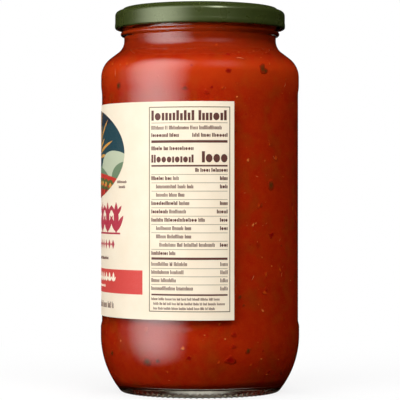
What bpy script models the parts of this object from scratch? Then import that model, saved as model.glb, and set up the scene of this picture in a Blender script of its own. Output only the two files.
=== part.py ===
"""A shut jar of tomato sauce: the glass jar, the sauce in it, its paper label and its twist-off lid.

Run it with blender --background --python part.py, or from Blender's text editor.
Metres, +Z up. The origin is the centre of the base, and the middle of the label faces -Y.
"""
import math

import bmesh
import bpy

MM = 0.001

# Driving dimensions, in millimetres and degrees. A radius is measured from the jar's upright axis.
TURN_STEPS = 56
CLEARANCE = 0.3

# Body of the glass
LOWER_RIDGE_RADIUS = 46.5
PANEL_RADIUS = 45.95
UPPER_RIDGE_RADIUS = 46.35
WALL = 2.5
HEEL_SWEEP_RADIUS = 41.3
HEEL_TOP_Z = 26.5
PANEL_Z = (33.4, 138.4)
LOWER_STEP_HEIGHT = 3.2
UPPER_STEP_HEIGHT = 2.6

# Base of the glass: a flat bearing ring round a domed underside, and a domed floor inside
BASE_CORNER_RADIUS = 2.0
BEARING_WIDTH = 3.1
PUSH_UP_HEIGHT = 2.6
FLOOR_Z = 5.0
FLOOR_RISE = 1.6
FLOOR_CORNER_RADIUS = 6.0
DOME_BEND = (0.6, 0.7)  # where either dome bends, as shares of its reach and of its rise

# Shoulder, neck and rim of the glass
SHOULDER_Z = 146.8
SHOULDER_ROUND = 11.0
NECK_Z = 164.0
NECK_ROUND = 7.2
NECK_RADIUS = 35.55
NECK_WALL = 2.65
BEAD_Z = 167.0
BEAD_REACH = 1.65
BEAD_ROUND = 1.1
BEAD_ARC = 72
BEAD_HALF_HEIGHT = 1.4
FINISH_RADIUS = 35.9
RIM_Z = 177.3
RIM_ROUND = 1.2

# Sauce
SAUCE_LEVEL_Z = 171.0
CLIMB_WIDTH = 1.5
CLIMB_HEIGHT = 0.5

# Label
LABEL_Z = (35.9, 133.6)
LABEL_HALF_SPAN = 107.3
LABEL_THICKNESS = 0.2
LABEL_STEPS = 40

# Top of the lid: a sunk button in a sunk panel, inside a raised ring
LID_TOP_Z = 179.3
LID_PANEL_DROP = 0.8
LID_PANEL_RADIUS = 32.2
LID_PANEL_SLOPE = 0.9
LID_BUTTON_DROP = 0.45
LID_BUTTON_RADIUS = 13.0
LID_BUTTON_SLOPE = 2.0
LID_RING_RADIUS = 36.3
LID_RING_BEVEL = (0.6, 0.4)
LID_RING_FOOT = (0.9, 1.2)

# Skirt of the lid
LID_RADIUS = 39.9
LID_SHEET = 0.7
LID_CORNER_ROUND = 1.5
LID_CORNER_ARC = 72
LID_CORNER_Z = 176.2
LID_CURL_ROUND = 1.0
LID_CURL_ARC = 225
LID_CURL_END = 1.4
LID_BOTTOM_Z = 169.3

# Inside of the lid: a shallow gasket channel that sits on the rim
GASKET_CHAMFER = (1.0, 0.9)
GASKET_REACH = 0.8
GASKET_DEPTH = 0.3
LID_CEILING_DROP = 0.4


def arc(centre, radius, start, end, steps):
    """Points on a circle in the profile's plane, from the start angle to the end angle, in degrees."""
    turn = [math.radians(start + (end - start) * i / steps) for i in range(steps + 1)]
    return [(centre[0] + radius * math.cos(a), centre[1] + radius * math.sin(a)) for a in turn]


def shoulder_curve(lower, upper, steps):
    """Points from an upright wall round a convex shoulder and a concave neck to a narrower upright wall.

    lower and upper are each (radius of the wall, height where it starts to turn, radius of the turn).
    """
    wall, z, turn = lower
    neck, neck_z, neck_turn = upper
    centre = (wall - turn, z)
    neck_centre = (neck + neck_turn, neck_z)
    across, up = neck_centre[0] - centre[0], neck_centre[1] - centre[1]
    between = math.acos((turn + neck_turn) / math.hypot(across, up))
    slope = math.degrees(math.atan2(up, across) - between)
    convex = arc(centre, turn, 0, slope, steps)
    concave = arc(neck_centre, neck_turn, 180 + slope, 180, steps)
    return convex + concave


def dome(reach, edge_z, rise):
    """Points of a shallow dome from its middle to where it bends down to its edge."""
    return [(0.0, edge_z + rise), (DOME_BEND[0] * reach, edge_z + DOME_BEND[1] * rise)]


def inner_outline(gap):
    """The inside of the glass from the middle of its floor to the straight neck, a gap away from it."""
    sweep_centre = (LOWER_RIDGE_RADIUS - HEEL_SWEEP_RADIUS, HEEL_TOP_Z)
    wall = PANEL_RADIUS - WALL - gap
    sweep = wall - sweep_centre[0]
    corner = FLOOR_CORNER_RADIUS - gap
    floor = FLOOR_Z + gap
    drop = sweep_centre[1] - floor - corner
    reach = math.sqrt((sweep - corner) ** 2 - drop ** 2)
    corner_centre = (sweep_centre[0] + reach, floor + corner)
    lean = -math.degrees(math.atan2(drop, reach))
    outline = dome(corner_centre[0], floor, FLOOR_RISE)
    outline += arc(corner_centre, corner, -90, lean, 3)
    outline += arc(sweep_centre, sweep, lean, 0, 4)[1:]
    outline += shoulder_curve(
        (wall, SHOULDER_Z, SHOULDER_ROUND - WALL - gap),
        (NECK_RADIUS - NECK_WALL - gap, NECK_Z, NECK_ROUND + NECK_WALL + gap),
        3,
    )
    return outline


def outer_outline():
    """The outside of the glass from the top of its neck's finish down to the middle of its underside."""
    sweep_centre = (LOWER_RIDGE_RADIUS - HEEL_SWEEP_RADIUS, HEEL_TOP_Z)
    corner_reach = HEEL_SWEEP_RADIUS - BASE_CORNER_RADIUS
    lean = -math.asin((HEEL_TOP_Z - BASE_CORNER_RADIUS) / corner_reach)
    corner_centre = (sweep_centre[0] + corner_reach * math.cos(lean), BASE_CORNER_RADIUS)
    lean = math.degrees(lean)
    bead_centre = (NECK_RADIUS + BEAD_REACH - BEAD_ROUND, BEAD_Z)

    upward = dome(corner_centre[0] - BEARING_WIDTH, 0.0, PUSH_UP_HEIGHT)
    upward += [(corner_centre[0] - BEARING_WIDTH, 0.0)]
    upward += arc(corner_centre, BASE_CORNER_RADIUS, -90, lean, 3)
    upward += arc(sweep_centre, HEEL_SWEEP_RADIUS, lean, 0, 7)[1:]
    upward += [(LOWER_RIDGE_RADIUS, PANEL_Z[0] - LOWER_STEP_HEIGHT), (PANEL_RADIUS, PANEL_Z[0])]
    upward += [(PANEL_RADIUS, PANEL_Z[1]), (UPPER_RIDGE_RADIUS, PANEL_Z[1] + UPPER_STEP_HEIGHT)]
    upward += shoulder_curve(
        (UPPER_RIDGE_RADIUS, SHOULDER_Z, SHOULDER_ROUND), (NECK_RADIUS, NECK_Z, NECK_ROUND), 4
    )
    upward += [(NECK_RADIUS, BEAD_Z - BEAD_HALF_HEIGHT)]
    upward += arc(bead_centre, BEAD_ROUND, -BEAD_ARC, BEAD_ARC, 4)
    upward += [(FINISH_RADIUS, BEAD_Z + BEAD_HALF_HEIGHT)]
    return upward[::-1]


def jar_profile():
    """The glass in section: up the inside, over the rim and down the outside."""
    inside = NECK_RADIUS - NECK_WALL
    inner_round = (inside + RIM_ROUND, RIM_Z - RIM_ROUND)
    outer_round = (FINISH_RADIUS - RIM_ROUND, RIM_Z - RIM_ROUND)
    rim = arc(inner_round, RIM_ROUND, 180, 90, 2) + arc(outer_round, RIM_ROUND, 90, 0, 2)
    return inner_outline(0.0) + rim + outer_outline()


def sauce_profile():
    """The sauce in section, from the middle of its level surface down the wall to the middle of the floor."""
    edge = NECK_RADIUS - NECK_WALL - CLEARANCE
    level = [
        (0.0, SAUCE_LEVEL_Z),
        (edge - CLIMB_WIDTH, SAUCE_LEVEL_Z),
        (edge, SAUCE_LEVEL_Z + CLIMB_HEIGHT),
    ]
    return level + inner_outline(CLEARANCE)[::-1]


def lid_profile():
    """The pressed steel lid in section: out over its top, down the skirt, round the curl and back inside."""
    corner = (LID_RADIUS - LID_CORNER_ROUND, LID_CORNER_Z)
    curl = (LID_RADIUS - LID_CURL_ROUND, LID_BOTTOM_Z + LID_CURL_ROUND)
    panel_z = LID_TOP_Z - LID_PANEL_DROP
    ceiling_z = RIM_Z + CLEARANCE
    skirt_inside = LID_RADIUS - LID_SHEET
    outside = [
        (0.0, panel_z - LID_BUTTON_DROP),
        (LID_BUTTON_RADIUS - LID_BUTTON_SLOPE, panel_z - LID_BUTTON_DROP),
        (LID_BUTTON_RADIUS, panel_z),
        (LID_PANEL_RADIUS, panel_z),
        (LID_PANEL_RADIUS + LID_PANEL_SLOPE, LID_TOP_Z),
        (LID_RING_RADIUS, LID_TOP_Z),
        (LID_RING_RADIUS + LID_RING_BEVEL[0], LID_TOP_Z - LID_RING_BEVEL[1]),
        (LID_RING_RADIUS + LID_RING_FOOT[0], LID_TOP_Z - LID_RING_FOOT[1]),
    ]
    outside += arc(corner, LID_CORNER_ROUND, LID_CORNER_ARC, 0, 3)
    outside += arc(curl, LID_CURL_ROUND, 0, -LID_CURL_ARC, 5)
    inside = [
        (skirt_inside, curl[1] + LID_CURL_END),
        (skirt_inside, corner[1]),
        (skirt_inside - GASKET_CHAMFER[0], corner[1] + GASKET_CHAMFER[1]),
        (FINISH_RADIUS + GASKET_REACH, ceiling_z - GASKET_DEPTH),
        (FINISH_RADIUS - RIM_ROUND, ceiling_z),
        (0.0, ceiling_z - LID_CEILING_DROP),
    ]
    return outside + inside


def label_sector():
    """The label seen from above: a closed band that follows the panel, with its middle at -Y."""
    inner = PANEL_RADIUS + CLEARANCE
    outer = inner + LABEL_THICKNESS
    start, end = -90 - LABEL_HALF_SPAN, -90 + LABEL_HALF_SPAN
    return arc((0, 0), outer, start, end, LABEL_STEPS) + arc((0, 0), inner, end, start, LABEL_STEPS)


def material(name, colour, roughness, metallic=0.0, transmission=0.0):
    """A Principled material of one colour."""
    made = bpy.data.materials.new(name)
    made.use_nodes = True
    shader = made.node_tree.nodes["Principled BSDF"]
    shader.inputs["Base Color"].default_value = (*colour, 1.0)
    shader.inputs["Roughness"].default_value = roughness
    shader.inputs["Metallic"].default_value = metallic
    shader.inputs["Transmission Weight"].default_value = transmission
    return made


def add_object(name, mesh, look, collection):
    """Puts a mesh in the collection as a named object with its material."""
    made = bpy.data.objects.new(name, mesh)
    mesh.materials.append(look)
    collection.objects.link(made)
    return made


def turned(name, profile, look, collection):
    """A turned piece: its profile in the XZ plane, spun round Z by a Screw modifier."""
    mesh = bpy.data.meshes.new(name)
    points = [(r * MM, 0.0, z * MM) for r, z in profile]
    mesh.from_pydata(points, [(i, i + 1) for i in range(len(points) - 1)], [])
    made = add_object(name, mesh, look, collection)
    screw = made.modifiers.new("turn", "SCREW")
    screw.axis = "Z"
    screw.angle = math.tau
    screw.steps = screw.render_steps = TURN_STEPS
    screw.use_merge_vertices = True
    screw.merge_threshold = 0.00001
    screw.use_smooth_shade = True
    return made


def wrapped_label(look, collection):
    """The paper label: its plan raised from the label's lower edge to its upper edge."""
    build = bmesh.new()
    corners = [build.verts.new((x * MM, y * MM, LABEL_Z[0] * MM)) for x, y in label_sector()]
    plan = build.faces.new(corners)
    raised = bmesh.ops.extrude_face_region(build, geom=[plan], use_keep_orig=True)
    lifted = [part for part in raised["geom"] if isinstance(part, bmesh.types.BMVert)]
    bmesh.ops.translate(build, verts=lifted, vec=(0, 0, (LABEL_Z[1] - LABEL_Z[0]) * MM))
    flats = [face for face in build.faces if abs(face.normal.z) > 0.9]
    bmesh.ops.triangulate(build, faces=flats)
    bmesh.ops.recalc_face_normals(build, faces=build.faces)
    mesh = bpy.data.meshes.new("label")
    build.to_mesh(mesh)
    build.free()
    return add_object("label", mesh, look, collection)


def main():
    """Clears the scene and builds the jar's four pieces."""
    for old in list(bpy.data.objects):
        bpy.data.objects.remove(old)
    collection = bpy.data.collections.new("tomato_sauce_jar")
    bpy.context.scene.collection.children.link(collection)

    glass = material("clear glass", (0.9, 0.93, 0.91), 0.03, transmission=1.0)
    tomato = material("tomato sauce", (0.42, 0.035, 0.008), 0.35)
    paper = material("cream paper", (0.93, 0.85, 0.69), 0.6)
    enamel = material("green enamel", (0.055, 0.085, 0.03), 0.3, metallic=0.2)

    turned("glass_jar", jar_profile(), glass, collection)
    turned("sauce", sauce_profile(), tomato, collection)
    turned("lid", lid_profile(), enamel, collection)
    wrapped_label(paper, collection)


main()
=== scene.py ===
"""The looks of a shut jar of tomato sauce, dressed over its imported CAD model.

Sizes are in millimetres and angles in degrees until a mesh is finished, and the finished meshes are
in metres, in the frame of the CAD. An angle round the jar starts at the middle of the label, which
faces -Y, and grows towards +X. On the label, a distance along it starts at the same place. A point of
a section is (distance from the jar's axis, height), and a point of the label is (distance along, height).
"""

import logging
import math
import random
from collections.abc import Iterable, Sequence
from dataclasses import dataclass, field
from enum import Enum

import bmesh
import bpy
from mathutils import Matrix, Vector


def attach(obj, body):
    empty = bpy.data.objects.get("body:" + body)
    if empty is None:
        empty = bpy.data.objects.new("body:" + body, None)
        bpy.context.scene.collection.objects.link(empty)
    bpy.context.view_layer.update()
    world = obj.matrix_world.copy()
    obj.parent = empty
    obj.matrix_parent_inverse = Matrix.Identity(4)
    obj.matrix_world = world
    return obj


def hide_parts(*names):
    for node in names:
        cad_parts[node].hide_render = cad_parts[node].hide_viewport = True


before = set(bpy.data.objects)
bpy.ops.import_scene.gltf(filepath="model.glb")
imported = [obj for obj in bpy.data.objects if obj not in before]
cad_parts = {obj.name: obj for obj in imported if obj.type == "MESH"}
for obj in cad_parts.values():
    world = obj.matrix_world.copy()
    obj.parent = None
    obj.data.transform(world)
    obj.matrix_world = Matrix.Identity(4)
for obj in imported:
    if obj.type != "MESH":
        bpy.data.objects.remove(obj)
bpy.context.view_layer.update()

MM = 0.001
BODY = "root"
EDGE = "edge"
PICTURE_SIDE = 400

Colour = tuple[float, float, float]
Spot = tuple[float, float, float]
Point = tuple[float, float]
Mesh = bmesh.types.BMesh
Piece = bpy.types.Object
Material = bpy.types.Material
Shelf = bpy.types.bpy_prop_collection
Socket = bpy.types.NodeSocket
Feed = float | Colour | Socket

WHITE: Colour = (1.0, 1.0, 1.0)
EVEN: Spot = (1.0, 1.0, 1.0)

log = logging.getLogger("jar")


# Colours


def screen(red: int, green: int, blue: int) -> Colour:
    """Turns a colour seen on screen, 0 to 255, into the linear colour, 0 to 1, that a shader takes."""
    shares = (red / 255, green / 255, blue / 255)
    return tuple(s / 12.92 if s <= 0.04045 else ((s + 0.055) / 1.055) ** 2.4 for s in shares)


class Ink(Enum):
    """The inks that the label is printed in."""

    BROWN = screen(88, 47, 40)
    OLIVE = screen(118, 106, 84)
    RULE = screen(158, 146, 122)
    TOMATO = screen(205, 66, 60)
    CRIMSON = screen(176, 48, 68)
    CREAM = screen(250, 236, 212)
    MAROON = screen(74, 24, 20)
    SUNSET = screen(190, 44, 34)
    GOLD = screen(208, 148, 62)
    SAGE = screen(186, 194, 166)
    MOSS = screen(104, 126, 96)
    TEAL = screen(16, 56, 66)
    NAVY = screen(18, 34, 48)
    LEAF = screen(74, 92, 44)


# Node trees


class Bench:
    """A material or world with an empty node tree, and short ways to add joined nodes to it."""

    def __init__(self, name: str, shelf: Shelf = bpy.data.materials) -> None:
        """Starts the material or world.

        Args:
            name: Its name.
            shelf: Where Blender keeps its kind.
        """
        self.made = shelf.new(name)
        self.made.use_nodes = True
        self.tree = self.made.node_tree
        self.tree.nodes.clear()

    def node(self, kind: str, feeds: dict[str | int, Feed] | None = None, **settings: object) -> Shelf:
        """Adds a node, and links or sets its inputs.

        Args:
            kind: The node's type, without Blender's prefix.
            feeds: The socket, number or colour for each input, by the input's name or number.
            settings: Properties to set on the node first.

        Returns:
            The node's outputs.
        """
        made = self.tree.nodes.new("ShaderNode" + kind)
        for name, value in settings.items():
            setattr(made, name, value)
        for key, value in (feeds or {}).items():
            socket = made.inputs[key]
            if isinstance(value, Socket):
                self.tree.links.new(value, socket)
            elif isinstance(value, tuple) and socket.type == "RGBA":
                socket.default_value = (*value, 1.0)
            else:
                socket.default_value = value
        return made.outputs

    def place(self, stretch: Spot = EVEN) -> Socket:
        """Gives object coordinates, each multiplied by its own number."""
        place = self.node("TexCoord")["Object"]
        return self.node("Mapping", {"Vector": place, "Scale": stretch})["Vector"]

    def noise(self, size: float, layers: float = 2.0, rough: float = 0.5, stretch: Spot = EVEN) -> Socket:
        """Adds noise of patches of a size, with finer layers of a strength, about 0.5 on average."""
        feeds = {"Scale": 1 / (size * MM), "Detail": layers, "Roughness": rough}
        return self.node("TexNoise", feeds | {"Vector": self.place(stretch)})["Fac"]

    def specks(self, spacing: float, size: float, share: float) -> Socket:
        """Adds scattered round specks with soft edges.

        Args:
            spacing: How far apart the places for a speck are.
            size: A speck's radius.
            share: The share of the places that have one.

        Returns:
            1 in a speck and 0 outside.
        """
        cells = self.node("TexVoronoi", {"Vector": self.place(), "Scale": 1 / (spacing * MM)})
        chance = self.node("SeparateColor", {"Color": cells["Color"]})["Red"]
        near = self.range(cells["Distance"], 0.3 * size / spacing, size / spacing, 1.0, 0.0, soft=True)
        return self.maths("MULTIPLY", self.maths("LESS_THAN", chance, share), near)

    def maths(self, operation: str, first: Feed, second: Feed = 0.0, clamp: bool = True) -> Socket:
        """Adds a Math node, whose result is kept between 0 and 1 where it is clamped."""
        return self.node("Math", {0: first, 1: second}, operation=operation, use_clamp=clamp)["Value"]

    def range(
        self, value: Feed, low: float, high: float, start: float = 0.0, end: float = 1.0, soft: bool = False
    ) -> Socket:
        """Maps a value from low and high to start and end, straight or softly, and holds it between them."""
        feeds = {"Value": value, "From Min": low, "From Max": high, "To Min": start, "To Max": end}
        return self.node("MapRange", feeds, interpolation_type="SMOOTHSTEP" if soft else "LINEAR")["Result"]

    def pick(self, share: Feed, first: Feed, second: Feed) -> Socket:
        """Mixes two numbers, from the first at a share of 0 to the second at 1."""
        return self.node("Mix", {0: share, 2: first, 3: second}, data_type="FLOAT")[0]

    def blend(self, share: Feed, first: Feed, second: Feed) -> Socket:
        """Mixes two colours, from the first at a share of 0 to the second at 1."""
        return self.node("Mix", {0: share, 6: first, 7: second}, data_type="RGBA")[2]

    def tone(
        self, under: Feed, over: Feed, pattern: Feed, low: float, high: float, most: float = 1.0
    ) -> Socket:
        """Lays a colour over another where a pattern goes from low to high, with a largest share."""
        return self.blend(self.range(pattern, low, high, 0.0, most), under, over)

    def bump(self, height: Feed, depth: float) -> Socket:
        """Bends the normal by a relief of 0 to 1 with a depth."""
        return self.node("Bump", {"Strength": 1.0, "Distance": depth * MM, "Height": height})["Normal"]

    def principled(self, **inputs: Feed) -> Socket:
        """Adds a Principled shader, whose inputs have a _ for each space of their names."""
        return self.node("BsdfPrincipled", {name.replace("_", " "): inputs[name] for name in inputs})["BSDF"]

    def mix(self, share: Feed, first: Socket, second: Socket) -> Socket:
        """Mixes two shaders, from the first at a share of 0 to the second at 1."""
        return self.node("MixShader", {0: share, 1: first, 2: second})["Shader"]

    def show(self, shader: Socket) -> Material:
        """Joins a shader to the output, and gives the finished material."""
        self.node("OutputMaterial", {"Surface": shader})
        return self.made


# Finishes


@dataclass(frozen=True)
class ClearGlass:
    """Clear jar glass. Light for what is behind it passes straight through."""

    ior: float = 1.52
    tint: Colour = (0.955, 0.97, 0.955)
    rough: float = 0.02
    ripple: float = 0.012

    def material(self) -> Material:
        """Makes the material.

        Returns:
            The material.
        """
        bench = Bench("clear glass")
        streaks = bench.noise(6.0, 3.0, stretch=(1.0, 1.0, 0.2))
        glass = bench.principled(
            Base_Color=bench.blend(streaks, self.tint, tuple(0.99 * c for c in self.tint)),
            Roughness=bench.range(streaks, 0.3, 0.8, 0.0, self.rough),
            IOR=self.ior,
            Transmission_Weight=1.0,
            Normal=bench.bump(bench.noise(14.0, 1.0, stretch=(1.0, 1.0, 0.5)), self.ripple),
        )
        clear = bench.node("BsdfTransparent", {"Color": self.tint})["BSDF"]
        path = bench.node("LightPath")
        through = bench.maths("MAXIMUM", path["Is Shadow Ray"], path["Is Diffuse Ray"])
        return bench.show(bench.mix(through, glass, clear))


@dataclass(frozen=True)
class CookedSauce:
    """Cooked tomato sauce behind glass: mottled red, with pulp, and painted light and shade up its shoulder
    and neck.

    shoulder holds the heights where the painted light on the shoulder starts, is full, fades and ends. neck
    holds the heights where the painted shade in the neck under the lid starts and is full, and its share, and
    the band of painted light just under the lid has the same three. spots and dots hold the spacing, size and
    share of the places of their specks, and how strong they are.
    """

    red: Colour = (0.370, 0.0125, 0.0009)
    deep: Colour = (0.235, 0.0060, 0.0006)
    orange: Colour = (0.480, 0.0390, 0.0022)
    olive: Colour = (0.205, 0.0260, 0.0016)
    pale: Colour = (0.600, 0.1100, 0.0200)
    dark: Colour = (0.120, 0.0080, 0.0010)
    # Lighter red painted where the shoulder and the top of the neck should look lit: a painted highlight, not
    # the sauce's own colour.
    painted_light: Colour = (0.620, 0.0500, 0.0040)
    # Darker red painted where the lid shades the neck: painted shade, not the sauce's own colour.
    painted_lid_shade: Colour = (0.245, 0.0175, 0.0012)
    mirror: Colour = (0.84, 0.80, 0.69)
    mirror_rough: float = 0.10
    # Heights of the painted light on the up-facing shoulder, and how strong it is.
    shoulder: tuple[float, float, float, float] = (136.0, 148.5, 149.0, 154.0)
    painted_shoulder_light_share: float = 0.5
    # Heights and share of the painted shade in the neck under the lid.
    neck: tuple[float, float, float] = (151.0, 158.0, 0.65)
    # Heights and share of the painted light in a band just under the lid.
    painted_light_under_lid: tuple[float, float, float] = (163.5, 168.0, 0.8)
    spots: tuple[float, float, float, float] = (6.0, 1.9, 0.10, 0.35)
    dots: tuple[float, float, float, float] = (1.7, 0.28, 0.16, 0.4)
    relief: float = 0.12
    glance: Point = (0.48, 0.56)

    def material(self) -> Material:
        """Makes the material.

        Sauce that wets glass throws a glancing look back into the glass, which is what makes the thick
        glass of the base look clear and not red.

        Returns:
            The material.
        """
        bench = Bench("cooked tomato sauce")
        pulp = bench.range(bench.noise(4.5, 4.0, 0.6), 0.3, 0.72)
        grain = bench.noise(0.7, 2.0, 0.6)
        colour = bench.tone(self.red, self.deep, bench.noise(26.0), 0.35, 0.65, 0.4)
        colour = bench.tone(colour, self.olive, bench.noise(9.0, 3.0, 0.55), 0.50, 0.70, 0.70)
        colour = bench.blend(bench.maths("MULTIPLY", pulp, 0.38), colour, self.orange)
        colour = bench.tone(colour, self.orange, grain, 0.5, 0.8, 0.5)
        height = bench.node("SeparateXYZ", {"Vector": bench.place()})["Z"]
        # Painted light: the shoulder is lightened where it faces up, as if lit from above.
        start, full, fade, end = (at * MM for at in self.shoulder)
        rise = bench.range(height, start, full, 0.0, self.painted_shoulder_light_share, soft=True)
        fall = bench.range(height, fade, end, 1.0, 0.0, soft=True)
        colour = bench.blend(bench.maths("MULTIPLY", rise, fall), colour, self.painted_light)
        # Painted shade in the neck under the lid, then a band of painted light just under the lid.
        for (low, high, share), tone in ((self.neck, self.painted_lid_shade), (self.painted_light_under_lid, self.painted_light)):
            zone = bench.range(height, low * MM, high * MM, 0.0, share, soft=True)
            colour = bench.blend(zone, colour, tone)
        for (*specks, share), tone in ((self.spots, self.dark), (self.dots, self.pale)):
            colour = bench.blend(bench.maths("MULTIPLY", bench.specks(*specks), share), colour, tone)
        body = bench.principled(
            Base_Color=colour,
            Roughness=bench.range(grain, 0.3, 0.7, 0.4, 0.6),
            Specular_IOR_Level=0.02,
            Normal=bench.bump(bench.pick(0.5, pulp, grain), self.relief),
        )
        mirror = bench.node("BsdfAnisotropic", {"Color": self.mirror, "Roughness": self.mirror_rough})["BSDF"]
        facing = bench.node("LayerWeight")["Facing"]
        return bench.show(bench.mix(bench.range(facing, *self.glance, soft=True), body, mirror))


@dataclass(frozen=True)
class Fleck:
    """A soft bit in the sauce, stained by the sauce round it, whose edge fades into the sauce."""

    name: str
    heart: Colour
    stain: Colour
    sauce: Colour = (0.360, 0.0160, 0.0010)
    grain: float = 0.6
    relief: float = 0.04

    def material(self) -> Material:
        """Makes the material.

        Returns:
            The material.
        """
        bench = Bench(self.name)
        blotch = bench.noise(self.grain, 3.0, 0.6)
        edge = bench.node("Attribute", attribute_name=EDGE)["Fac"]
        colour = bench.tone(self.heart, self.stain, blotch, 0.35, 0.7)
        return bench.show(
            bench.principled(
                Base_Color=bench.tone(colour, self.sauce, edge, 0.3, 1.0),
                Roughness=bench.range(blotch, 0.3, 0.7, 0.45, 0.6),
                Specular_IOR_Level=0.02,
                Normal=bench.bump(blotch, self.relief),
            )
        )


@dataclass(frozen=True)
class CreamPaper:
    """Cream label paper with a fine fibre and a light varnish."""

    cream: Colour = (0.868, 0.746, 0.573)
    pale: Colour = (0.890, 0.778, 0.610)
    relief: float = 0.012

    def material(self) -> Material:
        """Makes the material.

        Returns:
            The material.
        """
        bench = Bench("cream label paper")
        fibre = bench.noise(0.35, 3.0, 0.7)
        colour = bench.tone(self.cream, self.pale, bench.noise(9.0), 0.35, 0.65)
        return bench.show(
            bench.principled(
                Base_Color=bench.tone(colour, Ink.RULE.value, fibre, 0.5, 0.8, 0.12),
                Roughness=bench.range(fibre, 0.3, 0.7, 0.5, 0.62),
                Specular_IOR_Level=0.18,
                Normal=bench.bump(fibre, self.relief),
            )
        )


@dataclass(frozen=True)
class PrintedInk:
    """Printed ink: its colour broken a little by the paper's fibre."""

    ink: Ink
    relief: float = 0.008

    def material(self) -> Material:
        """Makes the material.

        Returns:
            The material.
        """
        bench = Bench("ink " + self.ink.name.lower())
        fibre = bench.noise(0.3, 3.0, 0.7)
        worn = tuple(0.8 * c + 0.2 * p for c, p in zip(self.ink.value, Ink.CREAM.value))
        return bench.show(
            bench.principled(
                Base_Color=bench.tone(self.ink.value, worn, fibre, 0.5, 0.85, 0.6),
                Roughness=bench.range(fibre, 0.3, 0.7, 0.42, 0.55),
                Specular_IOR_Level=0.2,
                Normal=bench.bump(fibre, self.relief),
            )
        )


@dataclass(frozen=True)
class GreenEnamel:
    """Dark olive green enamel, stoved on steel: glossy, with a slight orange peel."""

    green: Colour = (0.0330, 0.0430, 0.0082)
    deep: Colour = (0.0275, 0.0378, 0.0066)
    shine: Colour = (0.92, 1.0, 0.70)
    ior: float = 1.62
    peel: float = 0.0015

    def material(self) -> Material:
        """Makes the material.

        Returns:
            The material.
        """
        bench = Bench("green enamel")
        cloud = bench.noise(7.0, 3.0)
        grain = bench.noise(0.45, 2.0, 0.6)
        colour = bench.tone(self.green, self.deep, cloud, 0.35, 0.65)
        return bench.show(
            bench.principled(
                Base_Color=bench.tone(colour, self.deep, grain, 0.5, 0.8, 0.25),
                Roughness=bench.range(cloud, 0.3, 0.7, 0.26, 0.31),
                IOR=self.ior,
                Specular_Tint=self.shine,
                Normal=bench.bump(bench.pick(0.3, bench.noise(1.6, 1.0), grain), self.peel),
            )
        )


# Outlines and meshes


def arc(centre: Point, radius: float, start: float, end: float, steps: int) -> list[Point]:
    """Gives the points of an arc in a section, from one angle to another, both ends included."""
    turns = [math.radians(start + (end - start) * i / steps) for i in range(steps + 1)]
    return [(centre[0] + radius * math.cos(a), centre[1] + radius * math.sin(a)) for a in turns]


def run(first: Point, last: Point, steps: int, soft: bool = False) -> list[Point]:
    """Gives points from one to another, both included.

    Args:
        first: Where they start.
        last: Where they end.
        steps: How many stretches they have.
        soft: Whether they make a soft step between two upright walls, and not a straight line.

    Returns:
        The points.
    """
    points = []
    for t in (i / steps for i in range(steps + 1)):
        across = 3 * t * t - 2 * t ** 3 if soft else t
        points.append((first[0] + (last[0] - first[0]) * across, first[1] + (last[1] - first[1]) * t))
    return points


def spun(angle: float, axis: str) -> Matrix:
    """Gives the turn by an angle about an axis."""
    return Matrix.Rotation(math.radians(angle), 4, axis)


def upright(left: float, right: float, low: float, high: float) -> Matrix:
    """Stands a flat figure that is 2 across up in a field of the label.

    Args:
        left: Where the field starts along the label.
        right: Where it ends.
        low: Its lower edge.
        high: Its upper edge.

    Returns:
        The matrix that moves the figure there.
    """
    middle = Matrix.Translation(((left + right) / 2, 0.0, (low + high) / 2))
    return middle @ spun(90, "X") @ Matrix.Diagonal(((right - left) / 2, (high - low) / 2, 1.0, 1.0))


def turned(outline: Sequence[Point], steps: int) -> Mesh:
    """Spins a closed section round the jar's axis.

    Args:
        outline: Its points; the first and the last lie on the axis.
        steps: How many steps the turn has.

    Returns:
        A closed mesh in millimetres.
    """
    mesh = bmesh.new()
    points = [mesh.verts.new((radius, 0.0, height)) for radius, height in outline]
    lines = [mesh.edges.new(pair) for pair in zip(points, points[1:])]
    bmesh.ops.spin(
        mesh, geom=points + lines, cent=(0, 0, 0), axis=(0, 0, 1), dvec=(0, 0, 0), angle=math.tau,
        steps=steps, use_merge=True, use_duplicate=False,
    )
    bmesh.ops.remove_doubles(mesh, verts=mesh.verts, dist=0.0005)
    bmesh.ops.recalc_face_normals(mesh, faces=mesh.faces)
    return mesh


def add_to(whole: Mesh, part: Mesh) -> None:
    """Moves a small mesh into a larger one.

    Args:
        whole: The larger mesh.
        part: The small mesh; it is freed.
    """
    carrier = bpy.data.meshes.new("carrier")
    part.to_mesh(carrier)
    part.free()
    whole.from_mesh(carrier)
    bpy.data.meshes.remove(carrier)


def wrapped(mesh: Mesh, radius: float, added: float, kept: float) -> None:
    """Gives a flat sheet its thickness and bends it round the jar.

    Args:
        mesh: The sheet, with x along it and -y out of it.
        radius: The radius that y = 0 comes to lie on.
        added: The y of the side that it gains.
        kept: The y that its first side comes to have.
    """
    raised = bmesh.ops.extrude_face_region(mesh, geom=mesh.faces[:], use_keep_orig=True)["geom"]
    gained = {item for item in raised if isinstance(item, bmesh.types.BMVert)}
    for vert in mesh.verts:
        vert.co.y = added if vert in gained else kept
    bmesh.ops.recalc_face_normals(mesh, faces=mesh.faces)
    for vert in mesh.verts:
        turn = vert.co.x / radius
        reach = radius - vert.co.y
        vert.co = Vector((reach * math.sin(turn), -reach * math.cos(turn), vert.co.z))


def placed(name: str, mesh: Mesh, material: Material) -> Piece:
    """Makes an object of a mesh and puts it in the scene.

    Args:
        name: The object's name.
        mesh: The mesh in metres; it is freed.
        material: What it is made of.

    Returns:
        The object.
    """
    data = bpy.data.meshes.new(name)
    mesh.to_mesh(data)
    mesh.free()
    data.materials.append(material)
    made = bpy.data.objects.new(name, data)
    bpy.context.scene.collection.objects.link(made)
    return made


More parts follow.
